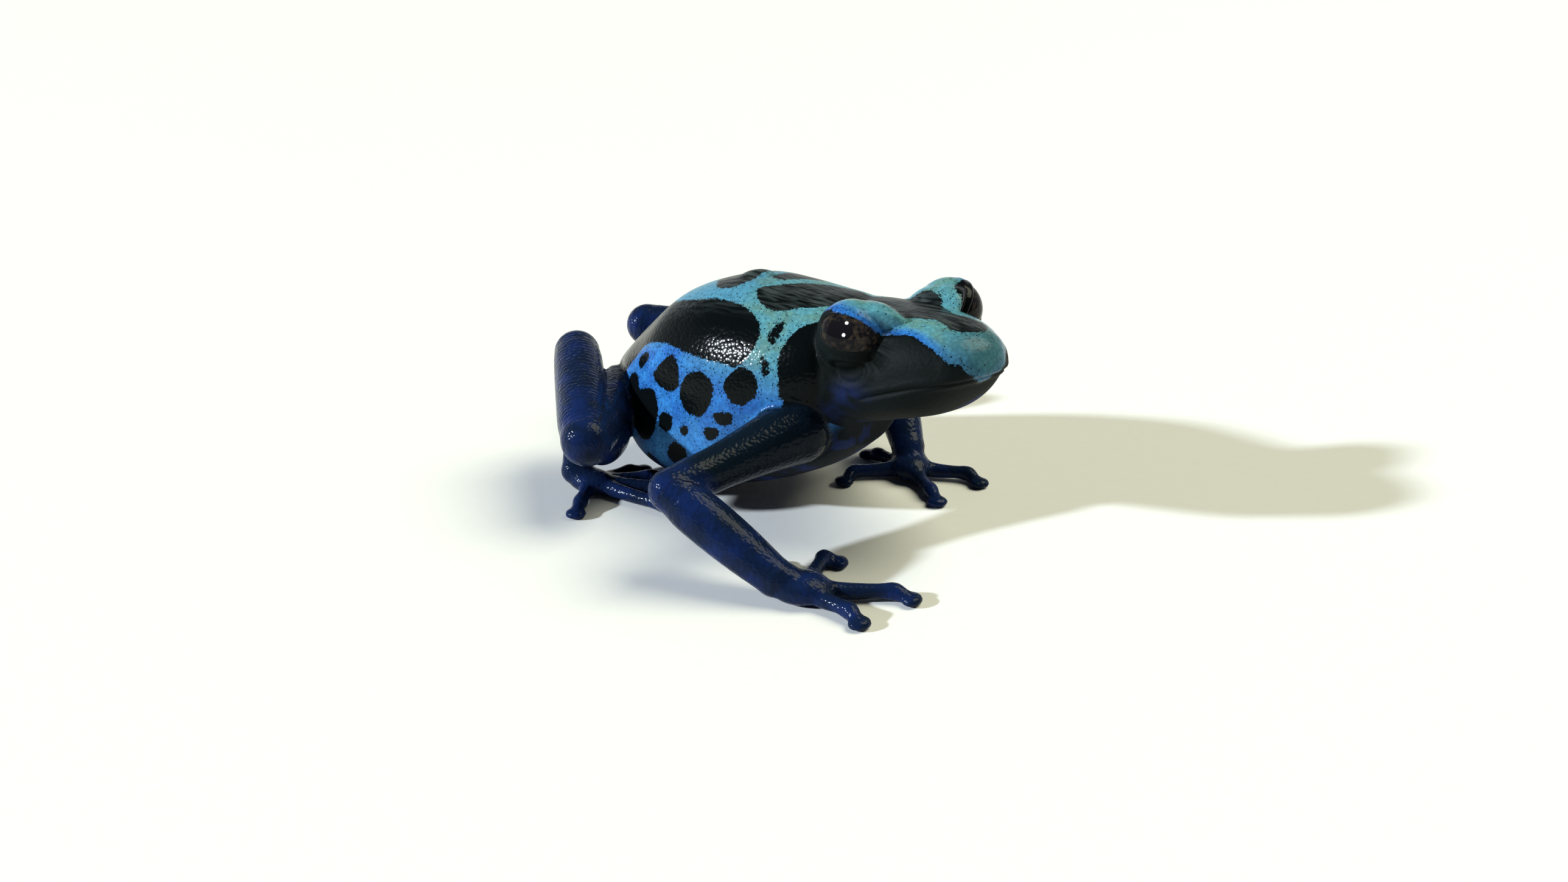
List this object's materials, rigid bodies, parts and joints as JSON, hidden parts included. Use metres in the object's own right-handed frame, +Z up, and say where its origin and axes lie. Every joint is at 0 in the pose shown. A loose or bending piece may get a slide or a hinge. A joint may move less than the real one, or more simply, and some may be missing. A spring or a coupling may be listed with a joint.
{
  "type": "blue poison dart frog",
  "caption": "Life-size still model of a blue and black poison dart frog, standing on its palms and toes with its head raised and turned.",
  "frame": {"origin": "middle of the frog's box, on the floor that it stands on", "axes": "+X the way the frog's trunk faces, +Y its left side, +Z up"},
  "size_m": [0.05, 0.0404, 0.022],
  "materials": {
    "patterned_skin": "wet skin, blue to turquoise with black patches and spots",
    "limb_skin": "wet skin, dark navy",
    "eye": "wet black eye"
  },
  "bodies": {
    "root": {"head": "patterned_skin", "torso": "patterned_skin", "eye_right": "eye", "upper_arm_right": "limb_skin", "forearm_right": "limb_skin", "palm_right": "limb_skin", "finger_1_right": "limb_skin", "finger_2_right": "limb_skin", "finger_3_right": "limb_skin", "finger_4_right": "limb_skin", "thigh_right": "limb_skin", "shank_right": "limb_skin", "tarsus_right": "limb_skin", "foot_right": "limb_skin", "toe_1_right": "limb_skin", "toe_2_right": "limb_skin", "toe_3_right": "limb_skin", "toe_4_right": "limb_skin", "toe_5_right": "limb_skin", "eye_left": "eye", "upper_arm_left": "limb_skin", "forearm_left": "limb_skin", "palm_left": "limb_skin", "finger_1_left": "limb_skin", "finger_2_left": "limb_skin", "finger_3_left": "limb_skin", "finger_4_left": "limb_skin", "thigh_left": "limb_skin", "shank_left": "limb_skin", "tarsus_left": "limb_skin", "foot_left": "limb_skin", "toe_1_left": "limb_skin", "toe_2_left": "limb_skin", "toe_3_left": "limb_skin", "toe_4_left": "limb_skin", "toe_5_left": "limb_skin"}
  },
  "joints": []
}
